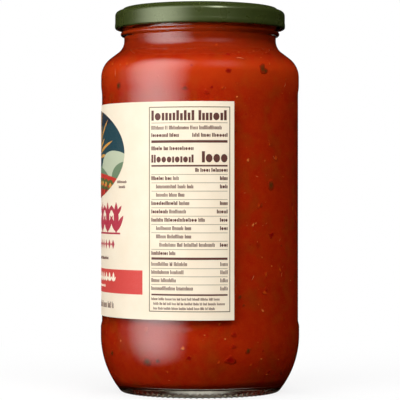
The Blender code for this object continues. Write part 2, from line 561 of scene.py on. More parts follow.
def dressed(
    name: str, material: Material, mesh: Mesh, node: str | None = None, crease: float = 40.0
) -> Piece:
    """Makes a piece that rides on the jar.

    Args:
        name: Its name.
        material: What it is made of.
        mesh: Its mesh in millimetres; it is freed.
        node: The CAD node that it replaces.
        crease: The angle from which an edge stays sharp.

    Returns:
        The piece.
    """
    bmesh.ops.scale(mesh, vec=(MM, MM, MM), verts=mesh.verts)
    piece = placed(name, mesh, material)
    piece.data.shade_smooth()
    piece.data.set_sharp_from_angle(angle=math.radians(crease))
    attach(piece, BODY)
    if node is not None:
        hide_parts(node)
    return piece


# The jar's glass


@dataclass
class GlassJar:
    """The clear jar: its section, the knurled ring that it stands on and the thread under its lid."""

    turns: int = 336
    ridge_radius: float = 46.5
    panel_radius: float = 45.95
    upper_ridge_radius: float = 46.35
    wall: float = 2.5
    panel: Point = (33.4, 138.4)
    lower_step: float = 3.2
    upper_step: float = 4.6
    sweep_radius: float = 41.3
    sweep_top: float = 26.5
    corner_radius: float = 2.0
    bearing_width: float = 3.1
    push_up: float = 2.6
    floor: float = 5.0
    floor_rise: float = 1.6
    floor_corner: float = 6.0
    shoulder: float = 146.8
    shoulder_radius: float = 11.0
    neck: float = 164.0
    neck_curve: float = 7.2
    neck_radius: float = 35.55
    neck_wall: float = 2.65
    bead: float = 167.0
    bead_reach: float = 1.65
    bead_round: float = 1.1
    bead_arc: float = 72.0
    bead_half: float = 1.4
    finish_radius: float = 35.9
    rim: float = 177.3
    rim_round: float = 1.2
    knurls: int = 84
    knurl_depth: float = 0.95
    knurl_height: float = 1.7
    knurl_reach: float = 2.4
    threads: int = 4
    first_thread: float = 20.0
    thread_foot: float = 168.6
    thread_rise: float = 5.2
    thread_reach: float = 1.0
    thread_half: float = 0.85

    def heel(self) -> Point:
        """Gives the centre of the heel's sweep."""
        return self.ridge_radius - self.sweep_radius, self.sweep_top

    def corner(self) -> tuple[Point, float]:
        """Finds the corner outside the bearing ring.

        Returns:
            Its centre, and the angle at which it meets the heel's sweep.
        """
        sweep, reach = self.heel(), self.sweep_radius - self.corner_radius
        lean = -math.asin((sweep[1] - self.corner_radius) / reach)
        return (sweep[0] + reach * math.cos(lean), self.corner_radius), math.degrees(lean)

    def shoulder_curve(
        self, lower: tuple[float, float, float], upper: tuple[float, float, float]
    ) -> list[Point]:
        """Gives the points of a convex shoulder that flows into a concave neck.

        Args:
            lower: The wall below, (its radius, where it starts to turn, the turn's radius).
            upper: The neck above, in the same terms.

        Returns:
            The points, from the wall up to the neck.
        """
        wall, low, turn = lower
        neck, high, neck_turn = upper
        centre, neck_centre = (wall - turn, low), (neck + neck_turn, high)
        across, up = neck_centre[0] - centre[0], neck_centre[1] - centre[1]
        between = math.acos((turn + neck_turn) / math.hypot(across, up))
        slope = math.degrees(math.atan2(up, across) - between)
        convex = arc(centre, turn, 0, slope, 12)
        return convex + arc(neck_centre, neck_turn, 180 + slope, 180, 12)[1:]

    def dome(self, reach: float, edge: float, rise: float) -> list[Point]:
        """Gives the points of a shallow dome of a radius, an edge's height and a rise, without the edge."""
        shares = [i / 8 for i in range(8)]
        return [(reach * t, edge + rise * math.cos(math.pi / 2 * t)) for t in shares]

    def inside(self, reach: float) -> list[Point]:
        """Gives the inside of the glass from the middle of its floor to the straight neck.

        Args:
            reach: How far into the glass the line is moved.

        Returns:
            The points.
        """
        centre = self.heel()
        wall = self.panel_radius - self.wall + reach
        neck_curve = self.neck_curve + self.neck_wall - reach
        sweep = wall - centre[0]
        corner = self.floor_corner + reach
        floor = self.floor - reach
        drop = centre[1] - floor - corner
        out = math.sqrt((sweep - corner) ** 2 - drop ** 2)
        corner_centre = (centre[0] + out, floor + corner)
        lean = -math.degrees(math.atan2(drop, out))
        points = self.dome(corner_centre[0], floor, self.floor_rise)
        points += arc(corner_centre, corner, -90, lean, 12)
        points += arc(centre, sweep, lean, 0, 14)[1:]
        return points + self.shoulder_curve(
            (wall, self.shoulder, self.shoulder_radius - self.wall + reach),
            (self.neck_radius - self.neck_wall + reach, self.neck, neck_curve),
        )

    def outside(self) -> list[Point]:
        """Gives the outside of the glass.

        Returns:
            The points, from the middle of its underside to the top of its finish.
        """
        corner, lean = self.corner()
        low, high = self.panel
        lower_ridge = (self.ridge_radius, low - self.lower_step)
        upper_ridge = (self.upper_ridge_radius, high + self.upper_step)
        bearing = corner[0] - self.bearing_width
        points = self.dome(bearing, 0.0, self.push_up)
        points += run((bearing, 0.0), (corner[0], 0.0), 4)
        points += arc(corner, self.corner_radius, -90, lean, 8)[1:]
        points += arc(self.heel(), self.sweep_radius, lean, 0, 20)[1:]
        points += run(lower_ridge, (self.panel_radius, low), 8, soft=True)
        points += run((self.panel_radius, high), upper_ridge, 8, soft=True)
        points += self.shoulder_curve(
            (self.upper_ridge_radius, self.shoulder, self.shoulder_radius),
            (self.neck_radius, self.neck, self.neck_curve),
        )
        points += [(self.neck_radius, self.bead - self.bead_half)]
        bead = (self.neck_radius + self.bead_reach - self.bead_round, self.bead)
        points += arc(bead, self.bead_round, -self.bead_arc, self.bead_arc, 8)
        foot, top = self.bead + self.bead_half, self.rim - self.rim_round
        return points + run((self.finish_radius, foot), (self.finish_radius, top), 14)

    def lip(self) -> list[Point]:
        """Gives the rim.

        Returns:
            The points, from the outside of the finish over to the inside of the neck.
        """
        top = self.rim - self.rim_round
        outer = (self.finish_radius - self.rim_round, top)
        inner = (self.neck_radius - self.neck_wall + self.rim_round, top)
        return arc(outer, self.rim_round, 0, 90, 4)[1:] + arc(inner, self.rim_round, 90, 180, 4)

    def knurl(self, mesh: Mesh) -> None:
        """Raises the ring that the jar stands on between its knurls.

        Args:
            mesh: The glass, in millimetres.
        """
        start = self.corner()[0][0] - self.knurl_reach
        for vert in mesh.verts:
            inward = (math.hypot(vert.co.x, vert.co.y) - start) / (0.5 * self.knurl_reach)
            if vert.co.z > self.knurl_height or inward < 0:
                continue
            fade = (1 - vert.co.z / self.knurl_height) * min(1.0, inward)
            wave = 0.5 - 0.5 * math.cos(self.knurls * math.atan2(vert.co.y, vert.co.x))
            vert.co.z += self.knurl_depth * wave ** 2 * fade

    def thread(self, mesh: Mesh) -> None:
        """Raises the thread's ridges round the finish, above the bead.

        Args:
            mesh: The glass, in millimetres.
        """
        span = 360 / self.threads
        top = self.rim - self.rim_round
        for vert in mesh.verts:
            radius = math.hypot(vert.co.x, vert.co.y)
            above = vert.co.z - self.bead - self.bead_half
            if radius < self.finish_radius - 0.01 or above < 0.05 or vert.co.z > top:
                continue
            turn = math.degrees(math.atan2(vert.co.x, -vert.co.y)) - self.first_thread
            along = (turn % span) / span
            ends = min(1.0, 8 * along, 8 * (1 - along))
            off = (vert.co.z - self.thread_foot - self.thread_rise * along) / self.thread_half
            grown = 1 + self.thread_reach * ends * math.exp(-off * off) / radius
            vert.co.x *= grown
            vert.co.y *= grown

    def build(self) -> list[Piece]:
        """Makes the glass.

        Returns:
            Its one piece.
        """
        mesh = turned(self.outside() + self.lip() + self.inside(0.0)[::-1], self.turns)
        self.knurl(mesh)
        self.thread(mesh)
        return [dressed("clear_glass", ClearGlass().material(), mesh, "glass_jar")]


# The sauce and the bits in it


@dataclass
class Sauce:
    """The sauce, which reaches just into the glass so that no air shows between them."""

    jar: GlassJar
    reach: float = 0.12
    level: float = 171.0
    turns: int = 120

    def outline(self) -> list[Point]:
        """Gives the sauce's section.

        Returns:
            The points, from the middle of its floor to the middle of its level surface.
        """
        edge = self.jar.neck_radius - self.jar.neck_wall + self.reach
        climb = [(edge, self.level + 0.6), (edge - 0.3, self.level + 0.3), (edge - 1.5, self.level)]
        return self.jar.inside(self.reach) + climb + [(0.0, self.level)]

    def wall_at(self, height: float) -> Point:
        """Finds the sauce's side at a height.

        Args:
            height: How high.

        Returns:
            The side's distance from the axis there, and how far it leans back from upright.
        """
        points = self.outline()
        for low, high in zip(points, points[1:]):
            if low[1] <= height < high[1] and low[0] > self.jar.neck_radius / 2:
                share = (height - low[1]) / (high[1] - low[1])
                radius = low[0] + share * (high[0] - low[0])
                return radius, math.degrees(math.atan2(low[0] - high[0], high[1] - low[1]))
        raise ValueError(f"the sauce has no side at {height} mm")

    def build(self) -> list[Piece]:
        """Makes the sauce, and gives its one piece."""
        mesh = turned(self.outline(), self.turns)
        return [dressed("tomato_sauce", CookedSauce().material(), mesh, "sauce")]


@dataclass(frozen=True)
class Kind:
    """One kind of bit: its finish, its half length, its width and thickness as shares of its length, how
    many are scattered, and the chosen places of more, each (angle round the jar, height, half length, tilt).
    """

    finish: Fleck
    half: float
    width: float
    thickness: float
    count: int
    chosen: tuple[tuple[float, float, float, float], ...]


class Bit(Enum):
    """The kinds of bit in the sauce."""

    HERB = Kind(Fleck("stewed herb", screen(78, 48, 14), screen(108, 38, 8)), 1.5, 0.78, 0.08, 34, (
        (127.4, 148.7, 2.3, 60), (129.2, 147.6, 1.7, 10), (32.4, 141.8, 2.0, 60), (134.0, 96.3, 2.6, 80),
        (55.0, 17.0, 2.6, 0), (24.0, 19.5, 1.7, 30), (117.0, 22.0, 1.6, 50),
    ))
    SEED = Kind(Fleck("tomato seed", screen(232, 136, 70), screen(206, 92, 34)), 0.8, 0.68, 0.20, 90, (
        (109.9, 135.8, 0.6, 20), (116.9, 107.4, 1.0, 80), (120.4, 78.3, 1.0, 70), (134.5, 59.6, 0.6, 0),
        (127.3, 39.6, 1.0, -40), (102.6, 27.4, 0.6, 0), (108.0, 17.5, 0.6, 10), (78.1, 23.3, 1.2, 60),
        (35.0, 25.5, 0.7, 90), (90.6, 29.2, 0.5, 0), (127.0, 18.0, 0.6, 0),
    ))
    PULP = Kind(Fleck("orange pulp", screen(206, 88, 22), screen(188, 58, 10)), 1.5, 0.62, 0.08, 130, (
        (133.7, 150.7, 0.9, 60),
    ))
    SKIN = Kind(Fleck("tomato skin", screen(140, 3, 5), screen(132, 10, 5)), 1.5, 0.80, 0.06, 60, (
        (106.0, 154.0, 1.2, 0), (134.5, 73.7, 1.7, 10), (106.2, 18.2, 2.6, 0), (81.6, 19.2, 1.3, 0),
    ))
    THREAD = Kind(Fleck("pale fibre", screen(222, 132, 88), screen(196, 82, 40)), 1.0, 0.16, 0.12, 150, (
        (147.3, 142.1, 1.6, 60), (113.0, 152.6, 2.2, -8), (29.0, 147.5, 2.0, 100), (136.5, 108.8, 1.3, -50),
        (123.1, 100.1, 1.0, -20), (114.8, 92.7, 0.9, 0), (142.2, 71.4, 1.2, 70), (120.4, 54.5, 1.6, 60),
        (144.0, 55.5, 1.4, 80),
    ))


@dataclass
class SauceBits:
    """Herbs, seeds, pulp, skins and fibres that lie against the glass, at chosen places and scattered."""

    sauce: Sauce
    heights: Point = (9.0, 162.0)
    shrink: Point = (0.35, 1.0)
    sunk: Point = (0.1, 0.6)
    proud: float = 0.10
    bow: float = 0.4
    lobe: float = 0.15

    def lay(
        self, whole: Mesh, kind: Kind, place: Sequence[float], chance: random.Random, sunk: float = 0.0
    ) -> None:
        """Adds one bit that lies flat against the glass.

        Args:
            whole: Its kind's mesh, in millimetres.
            kind: Its kind.
            place: Its angle round the jar, its height, its half length and its tilt.
            chance: Where its uneven outline comes from.
            sunk: How much of its colour the sauce over it hides, 0 to 1.
        """
        turn, height, half, tilt = place
        radius, lean = self.sauce.wall_at(height)
        mesh = bmesh.new()
        bmesh.ops.create_uvsphere(mesh, u_segments=10, v_segments=6, radius=1.0, matrix=spun(90, "X"))
        edge = mesh.verts.layers.float.new(EDGE)
        lobes = [(chance.uniform(-self.lobe, self.lobe), chance.uniform(0, math.tau)) for _ in range(3)]
        bow = chance.uniform(-self.bow, self.bow) / kind.width
        for vert in mesh.verts:
            vert[edge] = sunk + (1 - sunk) * math.hypot(vert.co.x, vert.co.z)
            way = math.atan2(vert.co.z, vert.co.x)
            grown = 1 + sum(size * math.cos((i + 2) * way + start) for i, (size, start) in enumerate(lobes))
            vert.co.x *= grown
            vert.co.z = vert.co.z * grown + bow * vert.co.x ** 2
        size = Matrix.Diagonal((half, half * kind.thickness, half * kind.width, 1.0))
        out = Matrix.Translation((0.0, -radius - self.proud + 0.5 * half * kind.thickness, height))
        stand = spun(turn, "Z") @ out @ spun(-lean, "X") @ spun(-tilt, "Y") @ size
        bmesh.ops.transform(mesh, matrix=stand, verts=mesh.verts)
        add_to(whole, mesh)

    def build(self) -> list[Piece]:
        """Makes the bits.

        Returns:
            One piece for each kind.
        """
        pieces = []
        for bit in Bit:
            kind, name = bit.value, bit.name
            chance = random.Random(f"bits of {name}")
            mesh = bmesh.new()
            for place in kind.chosen:
                self.lay(mesh, kind, place, chance)
            for _ in range(kind.count):
                turn, height = chance.uniform(0, 360), chance.uniform(*self.heights)
                half, tilt = kind.half * chance.uniform(*self.shrink), chance.uniform(0, 180)
                self.lay(mesh, kind, (turn, height, half, tilt), chance, chance.uniform(*self.sunk))
            material = kind.finish.material()
            pieces.append(dressed(f"sauce_bits_{name.lower()}", material, mesh, crease=180.0))
        return pieces


# The label


@dataclass(frozen=True)
class Oval:
    """An oval field on the label: its middle and its half sizes."""

    middle: Point
    half: Point


@dataclass
class Sheet:
    """All that is printed in one ink at one layer of the label, drawn flat and then wrapped round the jar.

    Flat, x runs along the label, z is up and -y points out of the paper. bold and light hold the
    width of a stroke of type and the distance from one to the next. They, the height of the low strokes
    and of a drop, and the gap between words are shares of a capital's height. tall_share and drop_share
    say how often a stroke is as high as a capital, or a bold low one is a drop.
    """

    name: str
    ink: Ink
    layer: int = 0
    radius: float = 46.3
    film: float = 0.02
    bite: float = 0.01
    strip: float = 1.2
    bold: Point = (0.27, 0.365)
    light: Point = (0.20, 0.31)
    low_stroke: Point = (0.70, 0.78)
    drop_height: float = 0.76
    gap: float = 0.42
    tall_share: float = 0.22
    drop_share: float = 0.45
    note_cap: float = 1.2
    note_word: Point = (1.0, 3.6)
    note_gap: float = 0.55
    note_slack: float = 3.0
    mesh: Mesh = field(default_factory=bmesh.new)

    def bar(self, left: float, right: float, low: float, high: float, mesh: Mesh | None = None) -> None:
        """Prints an upright rectangle.

        Args:
            left: Where it starts along the label.
            right: Where it ends.
            low: Its lower edge.
            high: Its upper edge.
            mesh: A small mesh to put it in, in place of the sheet's own.
        """
        columns = max(1, math.ceil((right - left) / self.strip))
        matrix = upright(left, right, low, high)
        bmesh.ops.create_grid(mesh or self.mesh, x_segments=columns, y_segments=1, size=1.0, matrix=matrix)

    def outline(self, left: float, right: float, low: float, high: float, line: float) -> None:
        """Prints a rectangle's outline.

        Args:
            left: Where it starts along the label.
            right: Where it ends.
            low: Its lower edge.
            high: Its upper edge.
            line: How wide the line is.
        """
        self.bar(left, right, low, low + line)
        self.bar(left, right, high - line, high)
        self.bar(left, left + line, low + line, high - line)
        self.bar(right - line, right, low + line, high - line)

    def shape(
        self,
        middle: Point,
        half: Point,
        sides: int,
        tilt: float = 0.0,
        leaf: bool = False,
        within: Oval | None = None,
    ) -> None:
        """Prints an oval, a leaf or a regular figure.

        Args:
            middle: Its middle.
            half: Its half length and half height, before it is tilted.
            sides: How many sides it has.
            tilt: How far it is turned.
            leaf: Whether it comes to a point at both ends.
            within: An oval field that cuts it off.
        """
        flat = bmesh.new()
        bmesh.ops.create_circle(flat, cap_ends=True, radius=1.0, segments=sides)
        if leaf:
            for vert in flat.verts:
                vert.co.y *= abs(vert.co.y)
        place = Matrix.Translation((middle[0], 0.0, middle[1])) @ spun(-tilt, "Y")
        stand = place @ spun(90, "X") @ Matrix.Diagonal((*half, 1.0, 1.0))
        bmesh.ops.transform(flat, matrix=stand, verts=flat.verts)
        if within is not None:
            self.crop(flat, within)
        self.slice(flat)
        add_to(self.mesh, flat)

    def saw(self, flat: Mesh, place: Spot, way: Spot, drop: bool = False) -> None:
        """Cuts a flat shape along a plane through a place, and may drop what lies that way."""
        parts = flat.verts[:] + flat.edges[:] + flat.faces[:]
        bmesh.ops.bisect_plane(flat, geom=parts, dist=1e-5, plane_co=place, plane_no=way, clear_outer=drop)

    def crop(self, flat: Mesh, within: Oval) -> None:
        """Cuts off what lies outside an oval.

        Args:
            flat: The flat shape.
            within: The oval.
        """
        sides = 96
        for turn in (math.tau * side / sides for side in range(sides)):
            along, up = math.cos(turn), math.sin(turn)
            edge = (within.middle[0] + within.half[0] * along, 0.0, within.middle[1] + within.half[1] * up)
            self.saw(flat, edge, (along / within.half[0], 0.0, up / within.half[1]), drop=True)

    def slice(self, flat: Mesh) -> None:
        """Cuts a flat shape into upright strips, so that it can bend round the jar.

        Args:
            flat: The flat shape.
        """
        low = min((vert.co.x for vert in flat.verts), default=0.0)
        high = max((vert.co.x for vert in flat.verts), default=0.0)
        for cut in range(1, math.ceil((high - low) / self.strip)):
            self.saw(flat, (low + cut * self.strip, 0.0, 0.0), (1.0, 0.0, 0.0))

    def words(
        self, left: float, base: float, capital: float, lengths: Iterable[float], heavy: bool, seed: str
    ) -> float:
        """Prints type as rows of upright strokes and solid drops, which hold no letters.

        Args:
            left: Where the first word starts along the label.
            base: The height that the words stand on.
            capital: The height of a capital.
            lengths: Each word's length.
            heavy: Whether the strokes are bold.
            seed: What the strokes' uneven heights are drawn from.

        Returns:
            Where the next word would start.
        """
        chance = random.Random(seed)
        row = bmesh.new()
        stroke, pitch = (capital * share for share in (self.bold if heavy else self.light))
        for length in lengths:
            strokes = max(1, round((length - stroke) / pitch) + 1)
            step = (length - stroke) / max(1, strokes - 1)
            after_drop = False
            for i in range(strokes):
                start = left + i * step
                tall = i == 0 or chance.random() < self.tall_share
                top = base + capital * (1.0 if tall else chance.uniform(*self.low_stroke))
                if after_drop:
                    after_drop = False
                elif heavy and not tall and i < strokes - 1 and chance.random() < self.drop_share:
                    place = upright(start, start + step + stroke, base, base + self.drop_height * capital)
                    bmesh.ops.create_circle(row, cap_ends=True, radius=1.0, segments=12, matrix=place)
                    after_drop = True
                else:
                    self.bar(start, start + stroke, base, top, row)
            left += length + self.gap * capital
        add_to(self.mesh, row)
        return left

    def note(self, left: float, base: float, length: float, seed: str) -> None:
        """Prints one line of the smallest type.

        Args:
            left: Where it starts along the label.
            base: The height that it stands on.
            length: How long the line is.
            seed: What its words are drawn from.
        """
        chance = random.Random(seed)
        lengths: list[float] = []
        while sum(lengths) + self.note_gap * len(lengths) < length - self.note_slack:
            lengths.append(chance.uniform(*self.note_word))
        self.words(left, base, self.note_cap, lengths, False, seed)

    def finish(self) -> Piece:
        """Wraps the print round the label, and gives the piece."""
        wrapped(self.mesh, self.radius, -self.film * (self.layer + 1), self.bite)
        return dressed(f"print_{self.name}", PrintedInk(self.ink).material(), self.mesh)


@dataclass
class LabelPaper:
    """The paper band round the panel."""

    radius: float = 46.3
    thickness: float = 0.25
    low: float = 35.9
    high: float = 133.6
    half_span: float = 107.3
    columns: int = 170
    rows: int = 24

    def build(self) -> list[Piece]:
        """Makes the paper.

        Returns:
            Its one piece.
        """
        half = math.radians(self.half_span) * self.radius
        place = upright(-half, half, self.low, self.high)
        mesh = bmesh.new()
        bmesh.ops.create_grid(mesh, x_segments=self.columns, y_segments=self.rows, size=1.0, matrix=place)
        wrapped(mesh, self.radius, self.thickness, 0.0)
        return [dressed("label_paper", CreamPaper().material(), mesh, "label")]


@dataclass(frozen=True)
class TypeRow:
    """One row of the table: its indent, its bold and light word lengths, and the mark at its right end."""

    indent: float
    bold: tuple[float, ...]
    light: tuple[float, ...]
    mark: float = 3.5
    rule: bool = True


@dataclass
class FactsTable:
    """The framed table on the label's right wing: bars, rules and rows of strokes that hold no letters.

    A line is (its start from the left margin, or from the right one where that is below 0, the height
    that it stands on, a capital's height, its words' lengths, whether it is bold, its seed).
    """

    left: float = 47.2
    right: float = 84.8
    low: float = 39.55
    high: float = 131.25
    line: float = 0.42
    margin: float = 1.25
    cap: float = 1.75
    rule_half: float = 0.14
    base_drop: float = 2.5
    deep_indent: float = 3.75
    lines: tuple[tuple[float, float, float, tuple[float, ...], bool, str], ...] = (
        (0.0, 125.1, 4.5, (20.1, 12.7), True, "heading"),
        (0.0, 121.0, cap, (6.0, 1.1, 9.0, 3.3, 10.0), False, "first line"),
        (0.0, 117.7, cap, (8.1, 4.3), True, "second line"),
        (-15.9, 117.7, cap, (3.2, 4.2, 7.0), True, "second line's end"),
        (0.0, 111.8, cap, (5.3, 2.1, 10.9), True, "third line"),
        (0.0, 106.3, 3.5, (19.8,), True, "large line"),
        (-11.6, 106.3, 5.0, (11.6,), True, "large number's place"),
        (-14.6, 102.1, cap, (1.6, 4.2, 7.3), True, "column heading"),
    )
    heading_rule: Point = (123.85, 124.15)
    bars: tuple[Point, ...] = ((115.1, 116.25), (104.45, 105.2), (62.85, 63.9), (46.85, 47.6))
    row_top: float = 100.95
    row_pitch: float = 3.72
    rows: tuple[TypeRow, ...] = (
        TypeRow(0.0, (6.0, 3.0), (2.6,)),
        TypeRow(2.4, (), (9.5, 3.5, 2.8)),
        TypeRow(2.4, (), (5.5, 3.5, 2.8), 0.0),
        TypeRow(0.0, (12.5,), (4.6,)),
        TypeRow(0.0, (8.0,), (7.6,), 4.9),
        TypeRow(0.0, (5.7, 14.8), (2.8,)),
        TypeRow(2.4, (), (7.0, 5.0, 2.8)),
        TypeRow(2.4, (), (4.6, 7.4, 2.8), 0.0),
        TypeRow(4.0, (), (7.6, 2.4, 6.0, 7.0)),
        TypeRow(0.0, (8.0,), (2.8,), 0.0, False),
    )
    lower_top: float = 62.6
    lower_pitch: float = 3.62
    lower_rows: tuple[TypeRow, ...] = (
        TypeRow(0.0, (), (8.2, 1.2, 6.0), 3.3),
        TypeRow(0.0, (), (8.5, 6.0), 3.3),
        TypeRow(0.0, (), (4.0, 7.0), 3.3),
        TypeRow(0.0, (), (11.3, 7.4), 3.3, False),
    )
    notes: tuple[Point, ...] = ((0.0, 34.9), (1.0, 34.0), (1.0, 31.4))
    note_top: float = 44.75
    note_pitch: float = 2.1

    def print_rows(
        self, type_sheet: Sheet, rules: Sheet, rows: Sequence[TypeRow], top: float, pitch: float, light: bool
    ) -> None:
        """Prints rows of type with a thin rule under each.

        Args:
            type_sheet: The sheet for the type.
            rules: The sheet for the rules.
            rows: The rows, from the top down.
            top: The height of the first row's top.
            pitch: How far apart the rows are.
            light: Whether the marks at the right end are in light strokes.
        """
        first, last = self.left + self.margin, self.right - self.margin
        for i, row in enumerate(rows):
            base = top - i * pitch - self.base_drop
            foot = top - (i + 1) * pitch
            seed = f"row {i} of {len(rows)}"
            after = type_sheet.words(first + row.indent, base, self.cap, row.bold, True, seed + " bold")
            type_sheet.words(after, base, self.cap, row.light, False, seed + " light")
            if row.mark:
                type_sheet.words(last - row.mark, base, self.cap, (row.mark,), not light, seed + " mark")
            if row.rule:
                indent = rows[i + 1].indent
                start = first + (indent if indent > self.deep_indent else 0.0)
                rules.bar(start, last, foot - self.rule_half, foot + self.rule_half)

    def print_on(self, sheets: dict[str, Sheet]) -> None:
        """Prints the whole table.

        Args:
            sheets: The sheets to print on, by name.
        """
        first, last = self.left + self.margin, self.right - self.margin
        brown, rules = sheets["type"], sheets["rules"]
        sheets["frame"].outline(self.left, self.right, self.low, self.high, self.line)
        for start, *line in self.lines:
            brown.words((first if start >= 0 else last) + start, *line)
        for low, high in self.bars:
            brown.bar(first, last, low, high)
        rules.bar(first, last, *self.heading_rule)
        rules.bar(first, last, self.row_top - self.rule_half, self.row_top + self.rule_half)
        self.print_rows(brown, rules, self.rows, self.row_top, self.row_pitch, False)
        self.print_rows(brown, rules, self.lower_rows, self.lower_top, self.lower_pitch, True)
        for i, (start, length) in enumerate(self.notes):
            brown.note(first + start, self.note_top - self.note_pitch * i, length, f"note {i}")


@dataclass
class Medallion:
    """The oval picture on the label's front: a made-up red field under hills, with the sun going down.

    layers holds each sheet's name, ink and large shapes, from the lowest up. A shape is (middle, half
    sizes, number of sides, tilt).
    """

    edge: Oval = Oval((0.0, 110.8), (32.6, 20.2))
    sun: Point = (-6.0, 108.5)
    layers: tuple[tuple[str, Ink, tuple[tuple[Point, Point, int, float], ...]], ...] = (
        ("ground", Ink.TEAL, ((edge.middle, edge.half, 96, 0.0),)),
        ("night", Ink.NAVY, (((6.0, 135.3), (34.0, 11.5), 96, 0.0),)),
        ("rays", Ink.GOLD, ()),
        ("sun", Ink.SUNSET, ((sun, (7.6, 7.6), 48, 0.0),)),
        ("hills", Ink.SAGE, (
            ((-25.0, 101.0), (17.0, 9.5), 72, 4.0), ((25.0, 101.5), (17.0, 10.5), 72, -5.0),
        )),
        ("slopes", Ink.MOSS, (
            ((-2.0, 98.0), (23.0, 8.0), 72, -3.0), ((34.0, 99.0), (12.0, 8.0), 72, 0.0),
        )),
        ("field", Ink.SUNSET, (((0.0, 80.6), (54.0, 21.5), 96, 0.0),)),
        ("rows", Ink.MAROON, ()),
        ("leaves", Ink.LEAF, ()),
        ("fruit", Ink.GOLD, ()),
    )
    rays: int = 17
    ray_start: float = 5.0
    ray_pitch: float = 10.6
    ray_reach: float = 9.2
    ray_halves: Point = (6.0, 10.5)
    ray_width: float = 0.75
    plants: int = 5
    plant_pitch: float = 5.2
    plant_height: float = 98.0
    field_bend: float = 0.09

    def sheets(self) -> list[Sheet]:
        """Prints the picture.

        Returns:
            Its sheets, from the lowest layer up.
        """
        made = {}
        for layer, (name, ink, shapes) in enumerate(self.layers):
            made[name] = Sheet(f"oval_{name}", ink, layer)
            for shape in shapes:
                made[name].shape(*shape, within=self.edge if layer else None)
        self.print_rays(made["rays"])
        self.print_plants(made["rows"], made["leaves"], made["fruit"])
        return list(made.values())

    def print_rays(self, sheet: Sheet) -> None:
        """Prints pointed rays, short and long by turns, that fan out from the sun.

        Args:
            sheet: The sheet to print on.
        """
        for i in range(self.rays):
            turn = self.ray_start + self.ray_pitch * i
            half = self.ray_halves[i % 2]
            way = (math.cos(math.radians(turn)), math.sin(math.radians(turn)))
            middle = tuple(at + (self.ray_reach + half) * share for at, share in zip(self.sun, way))
            sheet.shape(middle, (half, self.ray_width), 20, turn, True, self.edge)

    def print_plants(self, rows: Sheet, leaves: Sheet, fruit: Sheet) -> None:
        """Prints the first row of plants in the field.

        Args:
            rows: The sheet for the furrows under them.
            leaves: The sheet for their leaves.
            fruit: The sheet for their fruit.
        """
        for i in range(-self.plants, self.plants + 1):
            along, up = i * self.plant_pitch, self.plant_height - self.field_bend * i * i
            rows.shape((along, up - 3.2), (4.6, 0.7), 20, 90 - 9 * i, True, self.edge)
            for side in (-1, 1):
                leaves.shape((along + 1.5 * side, up + 0.9), (2.2, 0.9), 16, -35 * side, True, self.edge)
                leaves.shape((along + 1.3 * side, up - 1.9), (1.9, 0.8), 16, -35 * side, True, self.edge)
            fruit.shape((along, up - 0.4), (1.25, 1.15), 20, within=self.edge)


